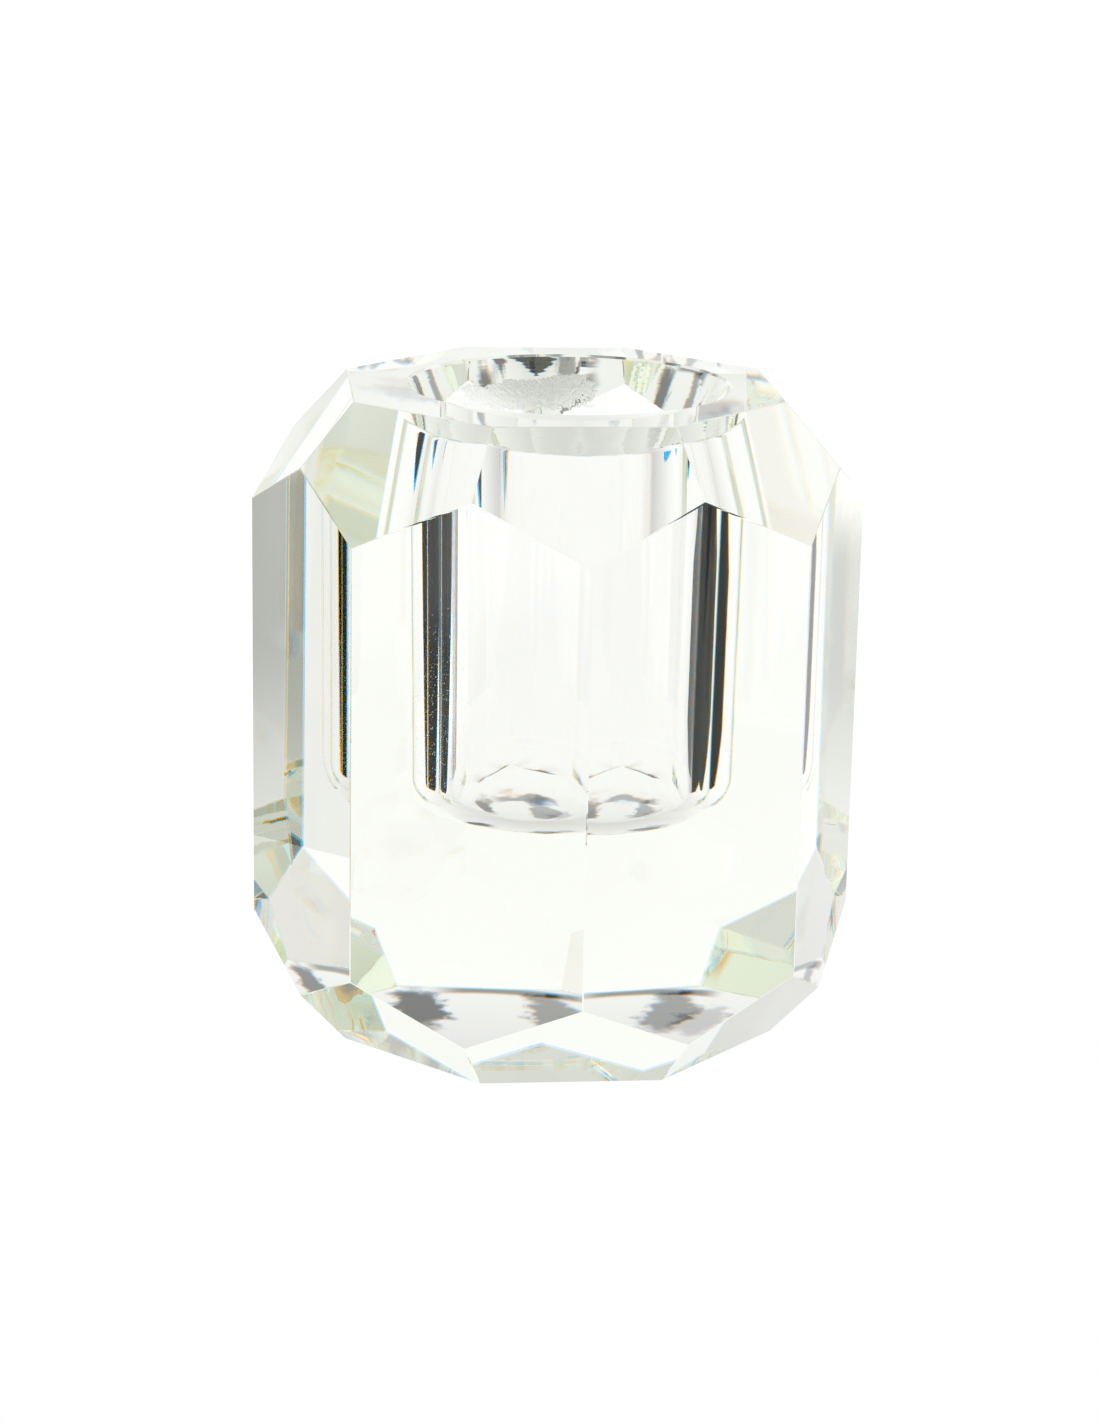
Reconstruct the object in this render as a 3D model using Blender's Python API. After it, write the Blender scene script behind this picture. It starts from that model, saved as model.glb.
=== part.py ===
"""Octagonal cut-glass candlestick: one solid block of clear crystal with a drilled taper socket.

The block is a regular octagonal prism that stands along +Z on the origin, with flats facing +X, -X,
+Y and -Y. At the top and at the bottom a sloping facet cuts off each corner of the prism, so the flat
octagonal table on top and the flat octagonal foot are turned by half a side against the prism. The
socket is a blind well: a flared mouth, a wall with a slight draft, and a floor with a rounded edge.
Its axis stands about a millimetre off the axis of the block, towards one vertical edge.
"""

import math

import bmesh
import bpy
from mathutils import Matrix, Vector

# Driving dimensions, in metres.
HEIGHT = 0.0575
ACROSS_FLATS = 0.050
TABLE_ACROSS_FLATS = 0.037
FOOT_ACROSS_FLATS = 0.0382
CROWN_DROP = 0.010
FOOT_RISE = 0.0095
ARRIS_WIDTH = 0.00035

MOUTH_DIAMETER = 0.0286
SOCKET_TOP_DIAMETER = 0.023
SOCKET_FLOOR_DIAMETER = 0.022
FLARE_DEPTH = 0.0060
SOCKET_DEPTH = 0.0367
RIM_CHAMFER = 0.0002
THROAT_RADIUS = 0.0010
FLOOR_CORNER_RADIUS = 0.0032
SOCKET_OFFSET = 0.00095

# How finely the round surfaces are divided.
SOCKET_STEPS = 96
CORNER_STEPS = 8
THROAT_STEPS = 4

SIDES = 8
SIDE_ANGLE = math.tau / SIDES
CIRCUMRADIUS = ACROSS_FLATS / 2 / math.cos(SIDE_ANGLE / 2)
SOCKET_OFFSET_AZIMUTH = 1.5 * SIDE_ANGLE
CUTTER_OVERSHOOT = 0.002
CUT_TOLERANCE = 1e-7
MERGE_DISTANCE = 1e-5

GLASS_COLOR = (0.93, 0.96, 0.93, 1.0)
GLASS_ROUGHNESS = 0.02
GLASS_IOR = 1.52


def clear_objects():
    """Empties the scene before the model is made."""
    for old in list(bpy.data.objects):
        bpy.data.objects.remove(old, do_unlink=True)


def clear_glass():
    """The polished crystal of the block."""
    material = bpy.data.materials.new("clear_crystal")
    material.use_nodes = True
    shader = material.node_tree.nodes["Principled BSDF"]
    shader.inputs["Base Color"].default_value = GLASS_COLOR
    shader.inputs["Roughness"].default_value = GLASS_ROUGHNESS
    shader.inputs["Metallic"].default_value = 0.0
    shader.inputs["Transmission Weight"].default_value = 1.0
    shader.inputs["IOR"].default_value = GLASS_IOR
    return material


def corner_azimuths():
    """The azimuth of each vertical edge of the prism."""
    return [(side + 0.5) * SIDE_ANGLE for side in range(SIDES)]


def facet_plane(azimuth, edge_height, cap_height, cap_across_flats):
    """A point and the outward normal of the facet that cuts off one corner of the prism.

    The plane meets the vertical edge at edge_height and the cap, at cap_height, along one of its sides.
    """
    outward = Vector((math.cos(azimuth), math.sin(azimuth), 0.0))
    on_edge = outward * CIRCUMRADIUS + Vector((0.0, 0.0, edge_height))
    run = CIRCUMRADIUS - cap_across_flats / 2
    rise = cap_height - edge_height
    normal = outward * abs(rise) + Vector((0.0, 0.0, math.copysign(run, rise)))
    return on_edge, normal.normalized()


def cut_with_plane(mesh, point, normal):
    """Removes what lies outside the plane and closes the cut with one flat face."""
    bmesh.ops.bisect_plane(
        mesh,
        geom=mesh.verts[:] + mesh.edges[:] + mesh.faces[:],
        dist=CUT_TOLERANCE,
        plane_co=point,
        plane_no=normal,
        clear_outer=True,
    )
    open_edges = [edge for edge in mesh.edges if edge.is_boundary]
    bmesh.ops.contextual_create(mesh, geom=open_edges)


def faceted_prism():
    """The closed octagonal prism with its crown facets and foot facets, before the arrises."""
    mesh = bmesh.new()
    bmesh.ops.create_cone(
        mesh,
        cap_ends=True,
        segments=SIDES,
        radius1=CIRCUMRADIUS,
        radius2=CIRCUMRADIUS,
        depth=HEIGHT,
    )
    flats_to_axes = Matrix.Rotation(SIDE_ANGLE / 2, 4, "Z")
    foot_to_origin = Matrix.Translation((0.0, 0.0, HEIGHT / 2))
    mesh.transform(foot_to_origin @ flats_to_axes)
    for azimuth in corner_azimuths():
        crown = facet_plane(azimuth, HEIGHT - CROWN_DROP, HEIGHT, TABLE_ACROSS_FLATS)
        foot = facet_plane(azimuth, FOOT_RISE, 0.0, FOOT_ACROSS_FLATS)
        cut_with_plane(mesh, *crown)
        cut_with_plane(mesh, *foot)
    bmesh.ops.recalc_face_normals(mesh, faces=mesh.faces)
    return mesh


def rounded_corner(before, corner, after, radius, steps):
    """The arc that rounds one corner of a profile, from the first leg to the second."""
    to_before = (before - corner).normalized()
    to_after = (after - corner).normalized()
    half_angle = to_before.angle(to_after) / 2
    setback = radius / math.tan(half_angle)
    bisector = (to_before + to_after).normalized()
    centre = corner + bisector * (radius / math.sin(half_angle))
    start = corner + to_before * setback - centre
    end = corner + to_after * setback - centre
    sweep = start.angle(end)
    points = []
    for step in range(steps + 1):
        share = step / steps
        weight_start = math.sin((1 - share) * sweep) / math.sin(sweep)
        weight_end = math.sin(share * sweep) / math.sin(sweep)
        points.append(centre + start * weight_start + end * weight_end)
    return points


def socket_profile():
    """Half the outline of the well, as radius and height, from above the table down to the floor."""
    mouth_radius = MOUTH_DIAMETER / 2
    top = HEIGHT + CUTTER_OVERSHOOT
    over_rim = Vector((mouth_radius + CUTTER_OVERSHOOT, top))
    rim = Vector((mouth_radius - RIM_CHAMFER, HEIGHT - RIM_CHAMFER))
    throat = Vector((SOCKET_TOP_DIAMETER / 2, HEIGHT - FLARE_DEPTH))
    floor_edge = Vector((SOCKET_FLOOR_DIAMETER / 2, HEIGHT - SOCKET_DEPTH))
    floor_centre = Vector((0.0, HEIGHT - SOCKET_DEPTH))
    profile = [Vector((0.0, top)), over_rim, rim]
    profile += rounded_corner(rim, throat, floor_edge, THROAT_RADIUS, THROAT_STEPS)
    profile += rounded_corner(throat, floor_edge, floor_centre, FLOOR_CORNER_RADIUS, CORNER_STEPS)
    profile.append(floor_centre)
    return profile


def socket_cutter():
    """The turned plug that hollows out the well; it is a guide and not a piece of the object."""
    profile = socket_profile()
    points = [(radius, 0.0, height) for radius, height in profile]
    edges = [(index, index + 1) for index in range(len(points) - 1)]
    mesh = bpy.data.meshes.new("socket_cutter")
    mesh.from_pydata(points, edges, [])
    cutter = bpy.data.objects.new("socket_cutter", mesh)
    cutter.location.x = SOCKET_OFFSET * math.cos(SOCKET_OFFSET_AZIMUTH)
    cutter.location.y = SOCKET_OFFSET * math.sin(SOCKET_OFFSET_AZIMUTH)
    cutter.display_type = "WIRE"
    cutter.hide_render = True
    bpy.context.scene.collection.objects.link(cutter)
    turn = cutter.modifiers.new("turn", "SCREW")
    turn.axis = "Z"
    turn.angle = math.tau
    turn.steps = SOCKET_STEPS
    turn.render_steps = SOCKET_STEPS
    turn.use_merge_vertices = True
    turn.merge_threshold = MERGE_DISTANCE
    turn.use_smooth_shade = True
    return cutter


def glass_block():
    """The one piece of the candlestick: the faceted block with its arrises and its socket."""
    outline = faceted_prism()
    mesh = bpy.data.meshes.new("glass_block")
    outline.to_mesh(mesh)
    outline.free()
    mesh.materials.append(clear_glass())
    block = bpy.data.objects.new("glass_block", mesh)
    bpy.context.scene.collection.objects.link(block)
    arris = block.modifiers.new("arrises", "BEVEL")
    arris.offset_type = "WIDTH"
    arris.width = ARRIS_WIDTH
    arris.segments = 1
    arris.limit_method = "NONE"
    socket = block.modifiers.new("socket", "BOOLEAN")
    socket.operation = "DIFFERENCE"
    socket.solver = "EXACT"
    socket.object = socket_cutter()
    return block


clear_objects()
glass_block()
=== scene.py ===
"""Looks of the cut-glass candlestick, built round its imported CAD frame.

The CAD node glass_block is hidden, and one finely divided mesh of the same block, with thinner arrises,
stands for it. Its socket has the small waves and grooves that grinding leaves, a chipped and frosted part
in the flare of its mouth, and a little dust on its wall. The glass is one procedural material. The studio
is a white table and a white room. Dark cards lie on the table at the sides, and the wall of the socket
mirrors them as its black stripes. There are ragged shades under the block. Only the glass shows the cards
and the shades: the camera itself sees plain white.
"""

import math

import bmesh
import bpy
from mathutils import Matrix, Vector, noise


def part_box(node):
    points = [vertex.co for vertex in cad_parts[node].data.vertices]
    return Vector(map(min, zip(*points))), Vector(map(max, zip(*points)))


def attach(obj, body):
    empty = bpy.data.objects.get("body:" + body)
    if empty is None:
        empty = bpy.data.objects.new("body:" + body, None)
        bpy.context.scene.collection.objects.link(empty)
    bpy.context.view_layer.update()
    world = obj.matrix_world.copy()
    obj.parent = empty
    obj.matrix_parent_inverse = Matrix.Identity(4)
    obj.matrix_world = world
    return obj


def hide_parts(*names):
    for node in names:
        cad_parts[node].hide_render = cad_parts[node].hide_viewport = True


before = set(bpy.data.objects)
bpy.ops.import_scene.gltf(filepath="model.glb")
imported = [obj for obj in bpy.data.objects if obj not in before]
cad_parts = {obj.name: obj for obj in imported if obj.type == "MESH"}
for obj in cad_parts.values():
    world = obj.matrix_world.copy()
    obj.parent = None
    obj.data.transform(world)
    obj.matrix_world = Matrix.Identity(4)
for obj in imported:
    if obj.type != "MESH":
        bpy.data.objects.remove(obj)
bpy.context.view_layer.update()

# Driving dimensions. MM is one millimetre of the drawing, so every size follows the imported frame.
DRAWN_HEIGHT = 57.5
BOX_LOW, BOX_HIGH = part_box("glass_block")
HEIGHT = BOX_HIGH.z - BOX_LOW.z
MM = HEIGHT / DRAWN_HEIGHT
ACROSS_FLATS = BOX_HIGH.x - BOX_LOW.x
TOP_ACROSS_FLATS = 37.0 * MM
FOOT_ACROSS_FLATS = 38.2 * MM
CROWN_DROP = 10.0 * MM
FOOT_RISE = 9.5 * MM

# The CAD part's arrises are wider, and clear glass would show them as broad lines.
ARRIS_WIDTH = 0.13 * MM

MOUTH_RADIUS = 14.3 * MM
SOCKET_TOP_RADIUS = 11.5 * MM
SOCKET_FLOOR_RADIUS = 11.0 * MM
FLARE_DEPTH = 6.0 * MM
SOCKET_DEPTH = 36.7 * MM
RIM_CHAMFER = 0.2 * MM
THROAT_RADIUS = 1.0 * MM
FLOOR_CORNER_RADIUS = 3.2 * MM
SOCKET_OFFSET = 0.95 * MM

SIDES = 8
SIDE_ANGLE = math.tau / SIDES
CIRCUMRADIUS = ACROSS_FLATS / 2 / math.cos(SIDE_ANGLE / 2)
SOCKET_AZIMUTH = 1.5 * SIDE_ANGLE
SOCKET_AXIS = SOCKET_OFFSET * Vector((math.cos(SOCKET_AZIMUTH), math.sin(SOCKET_AZIMUTH)))

# How finely the surfaces are divided, and how many rings at the rim are left as they were turned.
WELL_STEPS = 320
FLARE_STEPS = 60
THROAT_STEPS = 6
WALL_STEPS = 90
CORNER_STEPS = 22
FLOOR_STEPS = 36
RIM_RINGS = 2
CUT_TOLERANCE = 1e-7
SHARP_ANGLE = math.radians(14.0)

# Camera: a long lens from a little above, turned to one side of the corner between two flats.
CAMERA_AZIMUTH = math.radians(16.722)
CAMERA_ELEVATION = math.radians(15.909)
CAMERA_ROLL = math.radians(-1.143)
CAMERA_DISTANCE = 11.42 * CIRCUMRADIUS
SENSOR = 36.0
LENS = 87.43
LENS_SHIFT = (-0.0044, -0.0065)
CLIP_START = 0.01
CLIP_END = 10.0


def facet_plane(azimuth, edge_height, cap_height, cap_across_flats):
    """A point and the outward normal of the facet that cuts off one corner of the prism."""
    outward = Vector((math.cos(azimuth), math.sin(azimuth), 0.0))
    on_edge = outward * CIRCUMRADIUS + Vector((0.0, 0.0, edge_height))
    run = CIRCUMRADIUS - cap_across_flats / 2
    rise = cap_height - edge_height
    normal = outward * abs(rise) + Vector((0.0, 0.0, math.copysign(run, rise)))
    return on_edge, normal.normalized()


def cut_with_plane(mesh, point, normal):
    """Removes what lies outside the plane and closes the cut with one flat face."""
    bmesh.ops.bisect_plane(
        mesh,
        geom=mesh.verts[:] + mesh.edges[:] + mesh.faces[:],
        dist=CUT_TOLERANCE,
        plane_co=point,
        plane_no=normal,
        clear_outer=True,
    )
    bmesh.ops.contextual_create(mesh, geom=[edge for edge in mesh.edges if edge.is_boundary])


def faceted_prism():
    """The octagonal prism with its crown facets, its foot facets and thin arrises on every edge."""
    mesh = bmesh.new()
    bmesh.ops.create_cone(
        mesh,
        cap_ends=True,
        segments=SIDES,
        radius1=CIRCUMRADIUS,
        radius2=CIRCUMRADIUS,
        depth=HEIGHT,
    )
    flats_to_axes = Matrix.Rotation(SIDE_ANGLE / 2, 4, "Z")
    foot_to_origin = Matrix.Translation((0.0, 0.0, HEIGHT / 2))
    mesh.transform(foot_to_origin @ flats_to_axes)
    for side in range(SIDES):
        azimuth = (side + 0.5) * SIDE_ANGLE
        cut_with_plane(mesh, *facet_plane(azimuth, HEIGHT - CROWN_DROP, HEIGHT, TOP_ACROSS_FLATS))
        cut_with_plane(mesh, *facet_plane(azimuth, FOOT_RISE, 0.0, FOOT_ACROSS_FLATS))
    bmesh.ops.recalc_face_normals(mesh, faces=mesh.faces)
    bmesh.ops.bevel(
        mesh,
        geom=mesh.edges[:],
        offset=ARRIS_WIDTH,
        offset_type="WIDTH",
        segments=1,
        affect="EDGES",
    )
    return mesh


def rounded_corner(before, corner, after, radius, steps):
    """The arc that rounds one corner of a profile, from the first leg to the second."""
    to_before = (before - corner).normalized()
    to_after = (after - corner).normalized()
    half_angle = to_before.angle(to_after) / 2
    setback = radius / math.tan(half_angle)
    centre = corner + (to_before + to_after).normalized() * (radius / math.sin(half_angle))
    start = corner + to_before * setback - centre
    end = corner + to_after * setback - centre
    sweep = start.angle(end)
    points = []
    for step in range(steps + 1):
        share = step / steps
        weight_start = math.sin((1 - share) * sweep) / math.sin(sweep)
        weight_end = math.sin(share * sweep) / math.sin(sweep)
        points.append(centre + start * weight_start + end * weight_end)
    return points


def divided(start, end, steps):
    """Evenly spaced points after start and before end."""
    return [start.lerp(end, step / steps) for step in range(1, steps)]


def socket_profile():
    """Half the outline of the well, from the rim on its top down to the centre of its floor."""
    rim_top = Vector((MOUTH_RADIUS, HEIGHT))
    rim = Vector((MOUTH_RADIUS - RIM_CHAMFER, HEIGHT - RIM_CHAMFER))
    throat = Vector((SOCKET_TOP_RADIUS, HEIGHT - FLARE_DEPTH))
    floor_edge = Vector((SOCKET_FLOOR_RADIUS, HEIGHT - SOCKET_DEPTH))
    floor_centre = Vector((0.0, HEIGHT - SOCKET_DEPTH))
    throat_arc = rounded_corner(rim, throat, floor_edge, THROAT_RADIUS, THROAT_STEPS)
    floor_arc = rounded_corner(throat, floor_edge, floor_centre, FLOOR_CORNER_RADIUS, CORNER_STEPS)
    profile = [rim_top, rim]
    profile += divided(rim, throat_arc[0], FLARE_STEPS)
    profile += throat_arc
    profile += divided(throat_arc[-1], floor_arc[0], WALL_STEPS)
    profile += floor_arc
    profile += divided(floor_arc[-1], floor_centre, FLOOR_STEPS)
    profile.append(floor_centre)
    return profile


def wander(around, scale, depth, seed):
    """Smooth noise round the socket, the same each run, from -1 to 1."""
    return noise.noise(Vector((around.x * scale + seed, around.y * scale, depth)))


# The chipped part of the flare and the dusty part of the wall: where each is round the socket's axis, and
# how far down. BEHIND is the azimuth that points straight away from the camera.
BEHIND = math.pi / 2 + CAMERA_AZIMUTH
CHIPPED_MIDDLE = BEHIND + math.radians(21.0)
CHIPPED_HALF = math.radians(42.0)
CHIPPED_GAIN = 2.2
CHIPPED_MOST = 0.8
CREASE_DEPTH = 1.7 * MM
CREASE_WAVE = 0.5 * MM
CREASE_WAVES_ROUND = 3.0
CREASE_PHASE = 0.6
CREASE_WIDTH = 0.7 * MM
CHIPPED_END = 5.2 * MM
CHIPPED_END_WIDTH = 1.0 * MM
DUSTY_MIDDLE = BEHIND + math.radians(125.0)
DUSTY_HALF = math.radians(32.0)
DUSTY_START = 12.0 * MM
DUSTY_START_WIDTH = 14.0 * MM
DUSTY_END = SOCKET_DEPTH - 2.0 * MM
DUSTY_END_WIDTH = 2.0 * MM


def ease(value):
    """A smooth ramp that is 0 below 0 and 1 above 1."""
    value = max(0.0, min(1.0, value))
    return value * value * (3.0 - 2.0 * value)


def beside(azimuth, middle, half):
    """1 at the middle azimuth, falling to 0 at half on either side of it."""
    off = abs(math.remainder(azimuth - middle, math.tau))
    return ease(1.0 - off / half)


def chipped(azimuth, depth):
    """How frosted by chipping the flare is, from 0 to 1: below a wavy crease, at one side of the mouth."""
    crease = CREASE_DEPTH + CREASE_WAVE * math.sin(CREASE_WAVES_ROUND * azimuth + CREASE_PHASE)
    below = ease((depth - crease) / CREASE_WIDTH + 0.5)
    above_throat = ease((CHIPPED_END - depth) / CHIPPED_END_WIDTH)
    at_side = CHIPPED_GAIN * beside(azimuth, CHIPPED_MIDDLE, CHIPPED_HALF)
    return min(CHIPPED_MOST, at_side) * below * above_throat


def dusty(azimuth, depth):
    """How much polishing dust was left on the wall, from 0 to 1, most of it towards the floor."""
    below = ease((depth - DUSTY_START) / DUSTY_START_WIDTH)
    above_floor = ease((DUSTY_END - depth) / DUSTY_END_WIDTH)
    return beside(azimuth, DUSTY_MIDDLE, DUSTY_HALF) * below * above_floor


# The marks of grinding on the wall and the flare: how high they stand, how busy they are round the axis,
# how long they are down it, and a seed that keeps their noises apart.
SLOW_WAVES = (0.006 * MM, 0.9, 14.0 * MM, 0.0)
POLISHED_RINGS = (0.001 * MM, 1.6, 2.4 * MM, 5.0)
FLARE_LOBES = (0.045 * MM, 3.2, 4.0 * MM, 3.0)
FLARE_GROOVES = (0.0045 * MM, 2.0, 0.13 * MM, 9.0)

# The marks on the floor: how high they stand, how broad they are, and where in the noise they lie.
FLOOR_SWIRL = (0.09 * MM, 3.0 * MM, 0.0)
FLOOR_GRAIN = (0.012 * MM, 1.1 * MM, 7.0 * MM)

# How far the marks take to fade out: under the rim, at the axis, above the throat and above the floor.
WALL_FADE = 1.0 * MM
AXIS_FADE = 4.0 * MM
RIM_FADE = 0.6 * MM
THROAT_FADE = 1.0 * MM
FLOOR_FADE = 2.5 * MM


def wall_mark(mark, around, depth):
    """How far one kind of mark on the wall or the flare stands out at a place."""
    size, busyness, length, seed = mark
    return size * wander(around, busyness, depth / length, seed)


def floor_mark(mark, around, radius):
    """How far one kind of mark on the floor stands up at a place."""
    size, breadth, level = mark
    return size * noise.noise(Vector((around.x * radius, around.y * radius, level)) / breadth)


def ground_surface(radius, height, around):
    """How far grinding left the surface of the well from the turned profile, outward and upward."""
    depth = HEIGHT - height
    on_wall = min(1.0, depth / WALL_FADE) * min(1.0, radius / AXIS_FADE)
    outward = on_wall * (wall_mark(SLOW_WAVES, around, depth) + wall_mark(POLISHED_RINGS, around, depth))
    on_flare = min(1.0, depth / RIM_FADE) * max(0.0, min(1.0, (FLARE_DEPTH - depth) / THROAT_FADE))
    outward += on_flare * (wall_mark(FLARE_LOBES, around, depth) + wall_mark(FLARE_GROOVES, around, depth))
    on_floor = max(0.0, 1.0 - (SOCKET_DEPTH - depth) / FLOOR_FADE)
    upward = on_floor * (floor_mark(FLOOR_SWIRL, around, radius) + floor_mark(FLOOR_GRAIN, around, radius))
    return outward, upward


def well_vertices(mesh):
    """The vertices of the well, ring by ring from the mouth down, each with its frost and its dust."""
    profile = socket_profile()
    frost = mesh.verts.layers.float.new("frost")
    dust = mesh.verts.layers.float.new("dust")
    columns = []
    for step in range(WELL_STEPS):
        azimuth = math.tau * step / WELL_STEPS
        around = Vector((math.cos(azimuth), math.sin(azimuth), 0.0))
        column = []
        for index, (radius, height) in enumerate(profile[:-1]):
            as_turned = index < RIM_RINGS
            outward, upward = (0.0, 0.0) if as_turned else ground_surface(radius, height, around)
            place = Vector((SOCKET_AXIS.x, SOCKET_AXIS.y, height + upward)) + around * (radius + outward)
            vertex = mesh.verts.new(place)
            vertex[frost] = chipped(azimuth, HEIGHT - height)
            vertex[dust] = dusty(azimuth, HEIGHT - height)
            column.append(vertex)
        columns.append(column)
    return list(zip(*columns))


def add_well(mesh):
    """Cuts the mouth out of the block's flat top and hangs the well from it."""
    top = max(mesh.faces, key=lambda face: face.calc_center_median().z)
    rim_edges = top.edges[:]
    mesh.faces.remove(top)
    rings = well_vertices(mesh)
    mouth = rings[0]
    lowest = rings[-1]
    neighbours = [(step, (step + 1) % WELL_STEPS) for step in range(WELL_STEPS)]
    for upper, lower in zip(rings, rings[1:]):
        for here, after in neighbours:
            mesh.faces.new((upper[here], upper[after], lower[after], lower[here]))
    floor_height = sum(vertex.co.z for vertex in lowest) / WELL_STEPS
    centre = mesh.verts.new((SOCKET_AXIS.x, SOCKET_AXIS.y, floor_height))
    for here, after in neighbours:
        mesh.faces.new((lowest[here], lowest[after], centre))
    rim_edges += [mesh.edges.get((mouth[here], mouth[after])) for here, after in neighbours]
    bmesh.ops.triangle_fill(mesh, use_beauty=True, use_dissolve=False, edges=rim_edges)
    bmesh.ops.recalc_face_normals(mesh, faces=mesh.faces)


def glass_block():
    """The visual mesh of the whole candlestick."""
    outline = faceted_prism()
    add_well(outline)
    mesh = bpy.data.meshes.new("candlestick_glass")
    outline.to_mesh(mesh)
    outline.free()
    mesh.shade_smooth()
    mesh.set_sharp_from_angle(angle=SHARP_ANGLE)
    block = bpy.data.objects.new("candlestick_glass", mesh)
    bpy.context.scene.collection.objects.link(block)
    return block


WHITE = (1.0, 1.0, 1.0, 1.0)

GLASS_IOR = 1.515
DISPERSION = 0.008
WARM_LIGHT = (1.0, 0.5, 0.0, 1.0)
COOL_LIGHT = (0.0, 0.5, 1.0, 1.0)
DEPTH_COLOR = (0.87, 0.93, 0.74, 1.0)
DEPTH_DENSITY = 5.8
DUST_COLOR = (0.9, 0.9, 0.9, 1.0)

# The noises of the glass, as inputs of a Noise Texture node; Scale is in waves per metre.
WAVES = dict(Scale=240.0, Detail=1.0)
FLAKES = dict(Scale=700.0, Detail=5.0, Roughness=0.7)
CHIPS = dict(Scale=1300.0, Detail=6.0, Roughness=0.7, Distortion=1.2)
SMEARS = dict(Scale=90.0, Detail=4.0)
GRAINS = dict(Scale=5200.0, Detail=2.0)

# From where to where a value ramps up: the edge of a flake, where the frost and the dust begin, the smears
# in the haze, and the edge of a speck of dust.
FLAKE_EDGE = (0.45, 0.62)
FROST_RAMP = (0.02, 0.2)
SMEAR_EDGE = (0.45, 0.75)
SPECK_EDGE = (0.72, 0.75)
DUST_RAMP = (0.02, 0.1)

# How strong and how high the bumps are, with heights in metres, how ragged and how blurred the frost is,
# how hazy the polish is, and how thick the dust is.
POLISH_STRENGTH = 0.015
POLISH_HEIGHT = 0.0002
CHIPS_STRENGTH = 0.5
CHIPS_HEIGHT = 0.0004
FROST_RAGGEDNESS = 2.2
FROST_ROUGHNESS = 0.32
HAZE_LEAST = 0.02
HAZE_MOST = 0.035
DUST_CROWDING = 0.09
DUST_STRENGTH = 0.8


class Nodes:
    """A small helper that adds shader nodes and links their inputs by name."""

    def __init__(self, tree):
        self.tree = tree
        tree.nodes.clear()

    def add(self, kind, settings=None, **inputs):
        """Adds a node. An input is a value or an output socket, and goes by its name, with an underscore
        for a space, or by its place: i0, i1 and so on.
        """
        node = self.tree.nodes.new("ShaderNode" + kind)
        for name, value in (settings or {}).items():
            setattr(node, name, value)
        for name, value in inputs.items():
            key = int(name[1:]) if name[0] == "i" and name[1:].isdigit() else name.replace("_", " ")
            socket = node.inputs[key]
            if isinstance(value, bpy.types.NodeSocket):
                self.tree.links.new(value, socket)
            else:
                socket.default_value = value
        return node

    def output(self, kind, **inputs):
        """The first output of a new node."""
        return self.add(kind, **inputs).outputs[0]

    def math(self, operation, first, second=0.0):
        """The result of one Math node."""
        return self.add("Math", dict(operation=operation), i0=first, i1=second).outputs[0]

    def step(self, value, low, high, at_low=0.0, at_high=1.0):
        """A smooth ramp from at_low to at_high while value goes from low to high."""
        node = self.add(
            "MapRange",
            dict(interpolation_type="SMOOTHSTEP"),
            Value=value,
            From_Min=low,
            From_Max=high,
            To_Min=at_low,
            To_Max=at_high,
        )
        return node.outputs[0]

    def product(self, *factors):
        """The product of two or more values."""
        result = factors[0]
        for factor in factors[1:]:
            result = self.math("MULTIPLY", result, factor)
        return result

    def vector(self, operation, first, second=(0.0, 0.0, 0.0)):
        """The outputs of a Vector Math node: a vector first, and then a value."""
        return self.add("VectorMath", dict(operation=operation), i0=first, i1=second).outputs

    def noise(self, place, **inputs):
        """The outputs of a Noise Texture node: a value first, and then a colour of three noises."""
        return self.add("TexNoise", Vector=place, **inputs).outputs


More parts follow.
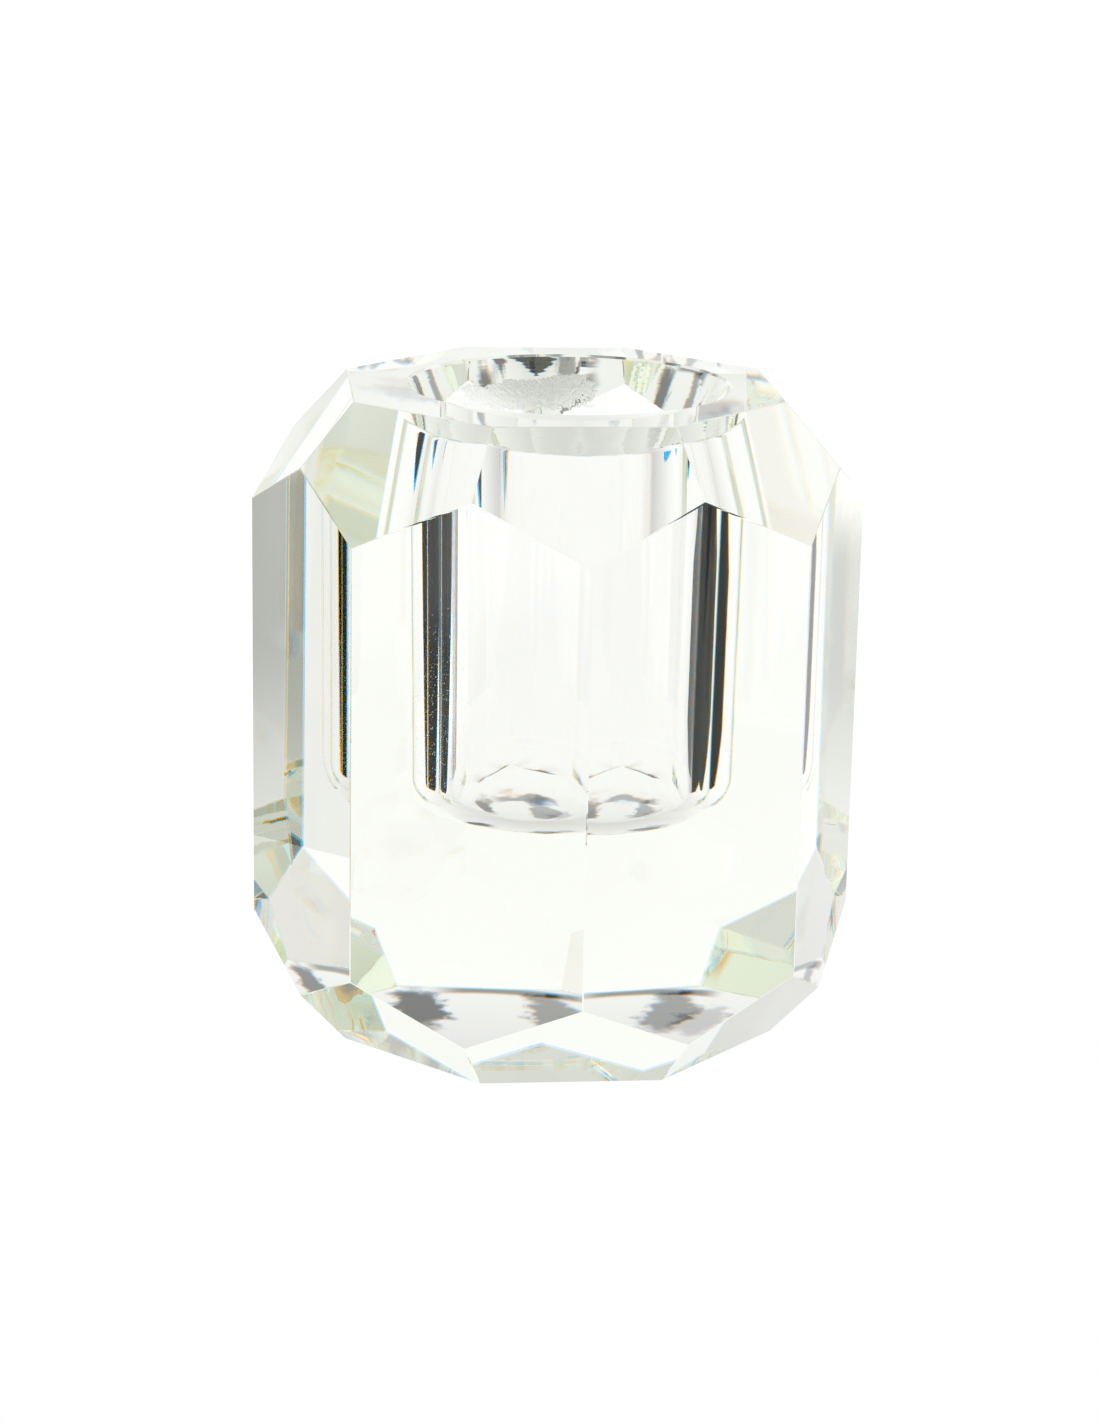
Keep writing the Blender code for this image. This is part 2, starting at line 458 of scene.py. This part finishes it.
def crystal():
    """Clear optical crystal: polished, faintly green in thick sections, splitting light a little.

    The first surface that the camera meets splits each path into a warm and a cool one, which bend by
    slightly different amounts. Away from the frost, the cool paths stay perfectly sharp and the warm ones
    have a trace of blur, so at every later surface a path still knows which of the two it is.
    """
    material = bpy.data.materials.new("clear_crystal")
    material.use_nodes = True
    nodes = Nodes(material.node_tree)
    place = nodes.add("TexCoord").outputs["Object"]
    light = nodes.add("LightPath").outputs

    frost = nodes.add("Attribute", dict(attribute_name="frost")).outputs["Fac"]
    flakes = nodes.noise(place, **FLAKES)[0]
    flaked = nodes.product(nodes.math("SUBTRACT", flakes, 0.5), FROST_RAGGEDNESS)
    ragged = nodes.math("ADD", frost, flaked)
    frosted = nodes.product(nodes.step(ragged, *FLAKE_EDGE), nodes.step(frost, *FROST_RAMP))
    ground = nodes.product(frosted, FROST_ROUGHNESS)

    waves = nodes.noise(place, **WAVES)[0]
    polish = nodes.output("Bump", Strength=POLISH_STRENGTH, Distance=POLISH_HEIGHT, Height=waves)
    chips = nodes.noise(place, **CHIPS)[0]
    normal = nodes.output(
        "Bump",
        Strength=nodes.product(frosted, CHIPS_STRENGTH),
        Distance=CHIPS_HEIGHT,
        Height=chips,
        Normal=polish,
    )

    smears = nodes.noise(place, **SMEARS)[0]
    haze = nodes.step(smears, *SMEAR_EDGE, HAZE_LEAST, HAZE_MOST)
    cool = nodes.output(
        "BsdfRefraction",
        Color=COOL_LIGHT,
        Roughness=ground,
        IOR=GLASS_IOR + DISPERSION,
        Normal=normal,
    )
    warm = nodes.output(
        "BsdfRefraction",
        Color=WARM_LIGHT,
        Roughness=nodes.math("ADD", haze, ground),
        IOR=GLASS_IOR - DISPERSION,
        Normal=normal,
    )
    both = nodes.output("AddShader", i0=cool, i1=warm)
    mirror = nodes.output("BsdfGlossy", Color=WHITE, Roughness=ground, Normal=normal)
    fresnel = nodes.output("Fresnel", IOR=GLASS_IOR, Normal=normal)
    outside = nodes.output("MixShader", i0=fresnel, i1=both, i2=mirror)

    sharp = light["Is Singular Ray"]
    blur = nodes.product(haze, nodes.math("SUBTRACT", 1.0, sharp))
    bend = nodes.product(sharp, 2.0 * DISPERSION)
    inside = nodes.output(
        "BsdfPrincipled",
        Base_Color=WHITE,
        Roughness=nodes.math("ADD", ground, blur),
        IOR=nodes.math("ADD", GLASS_IOR - DISPERSION, bend),
        Transmission_Weight=1.0,
        Normal=normal,
    )
    surface = nodes.output("MixShader", i0=light["Is Camera Ray"], i1=inside, i2=outside)

    dust = nodes.add("Attribute", dict(attribute_name="dust")).outputs["Fac"]
    grains = nodes.noise(place, **GRAINS)[0]
    crowded = nodes.math("ADD", grains, nodes.product(dust, DUST_CROWDING))
    dusted = nodes.step(dust, *DUST_RAMP, 0.0, DUST_STRENGTH)
    specks = nodes.product(nodes.step(crowded, *SPECK_EDGE), dusted)
    powder = nodes.output("BsdfDiffuse", Color=DUST_COLOR)
    surface = nodes.output("MixShader", i0=specks, i1=surface, i2=powder)

    depth = nodes.output("VolumeAbsorption", Color=DEPTH_COLOR, Density=DEPTH_DENSITY)
    nodes.add("OutputMaterial", Surface=surface, Volume=depth)
    return material


def camera_frame():
    """The camera's right, up and backward directions and its place."""
    away = Vector((math.sin(CAMERA_AZIMUTH), -math.cos(CAMERA_AZIMUTH), 0.0))
    upward = Vector((0.0, 0.0, 1.0))
    target = Vector((0.0, 0.0, HEIGHT / 2))
    back = away * math.cos(CAMERA_ELEVATION) + upward * math.sin(CAMERA_ELEVATION)
    level_right = upward.cross(back).normalized()
    level_up = back.cross(level_right)
    right = level_right * math.cos(CAMERA_ROLL) - level_up * math.sin(CAMERA_ROLL)
    up = level_up * math.cos(CAMERA_ROLL) + level_right * math.sin(CAMERA_ROLL)
    return right, up, back, target + back * CAMERA_DISTANCE


def add_camera():
    """The camera at the viewing angle of a product picture."""
    data = bpy.data.cameras.new("camera")
    data.sensor_fit = "AUTO"
    data.sensor_width = SENSOR
    data.lens = LENS
    data.shift_x, data.shift_y = LENS_SHIFT
    data.clip_start = CLIP_START
    data.clip_end = CLIP_END
    camera = bpy.data.objects.new("camera", data)
    bpy.context.scene.collection.objects.link(camera)
    right, up, back, place = camera_frame()
    turn = Matrix((right, up, back)).transposed().to_4x4()
    turn.translation = place
    camera.matrix_world = turn
    bpy.context.scene.camera = camera


# The dark patch of room round the camera: its direction, with azimuth 0 straight behind the block, how far
# it spreads to its soft edge, how soft that edge is, and how dark it is.
CREW_AZIMUTH = math.radians(171.0)
CREW_ELEVATION = math.radians(25.0)
CREW_SPREAD = math.radians(11.0)
CREW_SOFTNESS = 0.15
CREW_DARKNESS = 0.96
CAMERA_CREW = (
    math.sin(CREW_AZIMUTH) * math.cos(CREW_ELEVATION),
    math.cos(CREW_AZIMUTH) * math.cos(CREW_ELEVATION),
    math.sin(CREW_ELEVATION),
)


def stage_sheet(name, outline, material):
    """A flat sheet that lies on the table plane, not part of the object; its corners are in block radii."""
    mesh = bpy.data.meshes.new(name)
    corners = [(x * CIRCUMRADIUS, y * CIRCUMRADIUS, 0.0) for x, y in outline]
    mesh.from_pydata(corners, [], [tuple(range(len(corners)))])
    mesh.materials.append(material)
    piece = bpy.data.objects.new(name, mesh)
    piece.rotation_euler.z = CAMERA_AZIMUTH
    bpy.context.scene.collection.objects.link(piece)
    return piece


def glow(name, strength, through_glass=0.0):
    """A material that only gives light, with some added for rays that come to it straight out of glass."""
    material = bpy.data.materials.new(name)
    material.use_nodes = True
    nodes = Nodes(material.node_tree)
    passed = nodes.add("LightPath").outputs["Is Transmission Ray"]
    given = nodes.math("ADD", strength, nodes.product(passed, through_glass))
    light = nodes.output("Emission", Color=WHITE, Strength=given)
    nodes.add("OutputMaterial", Surface=light)
    material.cycles.emission_sampling = "NONE"
    return material


# On the table, lengths are in block radii: x is across the view from the block's centre and y is away from
# the camera. A pair says from where to where something ramps up.

# The light that the table gives: in front of the block and behind it, with a window's light added in front
# at the right and a spill of light at the left.
TABLE_DEPTH = (-2.5, 1.2)
TABLE_NEAR = 0.48
TABLE_FAR = 1.04
WINDOW_X = (2.0, 4.0)
WINDOW_Y = (-1.0, -2.5)
WINDOW_LIGHT = 0.12
SPILL_X = (-3.2, -4.2)
SPILL_Y = (0.7, 0.1)
SPILL_LIGHT = 0.9

# The shade under the whole foot, and the shade under the foot's rim at the back.
FOOT_REACH = (0.80, 0.72)
FOOT_SHADE = 0.06
RIM_INSIDE = (0.62, 0.66)
RIM_OUTSIDE = (0.74, 0.70)
RIM_LEFT = (-0.28, -0.12)
RIM_RIGHT = (0.34, 0.24)
RIM_BACK = (0.3, 0.5)
RIM_SHADE = 0.6

# The ragged patches of shade: x, y, breadth over length, and darkness of each. The noise that makes their
# edges ragged also shifts them by about half of PATCH_RAGGEDNESS, to the left and to the front. They fade
# out for light that leaves the table too much to the side, as SIDEWAYS_LIGHT says.
PATCHES = ((-0.17, 0.50, 0.36, 0.72), (0.30, 0.50, 0.34, 0.55), (0.45, 0.38, 0.5, 0.3))
PATCH_REACH = (0.12, 0.07)
PATCH_NOISE = dict(Scale=9.0, Detail=6.0, Roughness=0.65)
PATCH_RAGGEDNESS = 0.28
SIDEWAYS_LIGHT = (0.75, 0.6)
DARKEST_SHADE = 0.97


def table_light(nodes, x, y):
    """The light that the table gives, before the block takes any of it."""
    level = nodes.step(y, *TABLE_DEPTH, TABLE_NEAR, TABLE_FAR)
    window = nodes.product(nodes.step(x, *WINDOW_X), nodes.step(y, *WINDOW_Y, 0.0, WINDOW_LIGHT))
    spill = nodes.product(nodes.step(x, *SPILL_X), nodes.step(y, *SPILL_Y, 0.0, SPILL_LIGHT))
    return nodes.math("ADD", nodes.math("ADD", level, window), spill)


def block_shade(nodes, scaled, x, y):
    """How much of the table's light is lost under the foot, under its rim at the back and in the patches.

    The patches only count for light that leaves the table roughly along the view, towards the camera or
    away from it, so they speckle the facets less when the block is seen from the sides.
    """
    reach = nodes.vector("LENGTH", scaled)["Value"]
    under = nodes.step(reach, *FOOT_REACH, 0.0, FOOT_SHADE)
    rim = nodes.product(
        nodes.step(reach, *RIM_INSIDE),
        nodes.step(reach, *RIM_OUTSIDE),
        nodes.step(x, *RIM_LEFT),
        nodes.step(x, *RIM_RIGHT, 0.0, RIM_SHADE),
        nodes.step(y, *RIM_BACK),
    )
    shade = nodes.math("ADD", under, rim)
    incoming = nodes.add("NewGeometry").outputs["Incoming"]
    across_view = (math.cos(CAMERA_AZIMUTH), math.sin(CAMERA_AZIMUTH), 0.0)
    sideways = nodes.vector("DOT_PRODUCT", incoming, across_view)["Value"]
    along_view = nodes.step(nodes.math("ABSOLUTE", sideways), *SIDEWAYS_LIGHT)
    ragged = nodes.noise(scaled, **PATCH_NOISE)[1]
    shift = nodes.vector("MULTIPLY", ragged, (PATCH_RAGGEDNESS, PATCH_RAGGEDNESS, 0.0))[0]
    shifted = nodes.vector("ADD", scaled, shift)[0]
    for patch_x, patch_y, slimness, darkness in PATCHES:
        off = nodes.vector("SUBTRACT", shifted, (patch_x, patch_y, 0.0))[0]
        off = nodes.vector("MULTIPLY", off, (1.0, slimness, 0.0))[0]
        away = nodes.vector("LENGTH", off)["Value"]
        patch = nodes.step(away, *PATCH_REACH, 0.0, darkness)
        shade = nodes.math("ADD", shade, nodes.product(patch, along_view))
    return nodes.math("MINIMUM", shade, DARKEST_SHADE)


def table_material():
    """A white table: plain white to the camera, and with its uneven light and its shades to the glass."""
    material = bpy.data.materials.new("studio_floor")
    material.use_nodes = True
    nodes = Nodes(material.node_tree)
    place = nodes.add("TexCoord").outputs["Object"]
    to_radii = 1.0 / CIRCUMRADIUS
    scaled = nodes.vector("MULTIPLY", place, (to_radii, to_radii, to_radii))[0]
    axes = nodes.add("SeparateXYZ", Vector=scaled).outputs
    level = table_light(nodes, axes["X"], axes["Y"])
    shade = block_shade(nodes, scaled, axes["X"], axes["Y"])
    given = nodes.product(level, nodes.math("SUBTRACT", 1.0, shade))
    seen = nodes.add("LightPath").outputs["Is Camera Ray"]
    light = nodes.output("Emission", Color=WHITE, Strength=nodes.math("MAXIMUM", given, seen))
    nodes.add("OutputMaterial", Surface=light)
    material.cycles.emission_sampling = "NONE"
    return material


# The corners of the dark cards on the table and of the strip of light on the left one, in block radii.
CARDS = {
    "card_right": (
        (3.8, -1.05),
        (8.0, -1.05),
        (8.0, 4.6),
        (4.4, 4.6),
        (2.75, 2.6),
        (2.75, 1.0),
        (3.0, 0.8),
        (3.0, -0.2),
    ),
    "card_left": ((-8.0, 0.45), (-2.45, 0.45), (-2.45, 1.3), (-5.3, 5.1), (-8.0, 5.1)),
}
LIGHT_STRIP = ((-8.0, 4.5), (-2.45, 1.08), (-2.45, 1.21), (-8.0, 4.65))
CARD_GREY = 0.003
STRIP_LIGHT = 1.0
CARD_LIFT = 0.02 * MM
TABLE_REACH = 70.0


def add_card(name, outline, material, lift):
    """A sheet on the table that only the glass shows: the camera's own rays pass it by."""
    card = stage_sheet(name, outline, material)
    card.location.z = lift
    card.visible_camera = False


def add_table():
    """The plain pale table, and on it the dark cards at the sides and the strip of light."""
    reach = TABLE_REACH
    corners = ((-reach, -reach), (reach, -reach), (reach, reach), (-reach, reach))
    stage_sheet("studio_floor", corners, table_material())
    dark = glow("card_black", CARD_GREY)
    for name, outline in CARDS.items():
        add_card(name, outline, dark, CARD_LIFT)
    add_card("card_slit", LIGHT_STRIP, glow("card_light", CARD_GREY, STRIP_LIGHT), 2.0 * CARD_LIFT)


# The light of the room, what is added behind the block, and where that starts: towards the back and below.
ROOM_LIGHT = 0.74
BACKDROP_LIGHT = 0.31
BACKDROP_BACK = (0.60, 0.86)
BACKDROP_TOP = (0.64, 0.44)


def add_sky():
    """The white room, lighter behind the block and dark round the camera, but plain white to the camera."""
    world = bpy.data.worlds.new("studio")
    bpy.context.scene.world = world
    world.use_nodes = True
    nodes = Nodes(world.node_tree)
    direction = nodes.add("TexCoord").outputs["Generated"]
    to_view = dict(rotation_type="Z_AXIS")
    turned = nodes.add("VectorRotate", to_view, Vector=direction, Angle=-CAMERA_AZIMUTH).outputs[0]
    axes = nodes.add("SeparateXYZ", Vector=turned).outputs
    behind = nodes.step(axes["Y"], *BACKDROP_BACK)
    low = nodes.step(axes["Z"], *BACKDROP_TOP)
    level = nodes.math("ADD", ROOM_LIGHT, nodes.product(behind, low, BACKDROP_LIGHT))
    toward = nodes.vector("DOT_PRODUCT", turned, CAMERA_CREW)["Value"]
    edge = math.cos(CREW_SPREAD * (1.0 + CREW_SOFTNESS))
    full = math.cos(CREW_SPREAD * (1.0 - CREW_SOFTNESS))
    crew = nodes.step(toward, edge, full, 0.0, CREW_DARKNESS)
    level = nodes.product(level, nodes.math("SUBTRACT", 1.0, crew))
    seen = nodes.add("LightPath").outputs["Is Camera Ray"]
    background = nodes.output("Background", Color=WHITE, Strength=nodes.math("MAXIMUM", level, seen))
    nodes.add("OutputWorld", Surface=background)
    world.cycles.sampling_method = "NONE"


BOUNCES = 32


def set_light_paths():
    """Light paths long enough for glass, and colours shown as they are."""
    scene = bpy.context.scene
    scene.view_settings.view_transform = "Standard"
    scene.cycles.use_denoising = True
    scene.cycles.max_bounces = BOUNCES
    scene.cycles.transmission_bounces = BOUNCES
    scene.cycles.glossy_bounces = BOUNCES
    scene.cycles.blur_glossy = 0.0
    scene.cycles.caustics_reflective = True
    scene.cycles.caustics_refractive = True


block = glass_block()
block.data.materials.append(crystal())
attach(block, "root")
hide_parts("glass_block")
add_table()
add_sky()
add_camera()
set_light_paths()
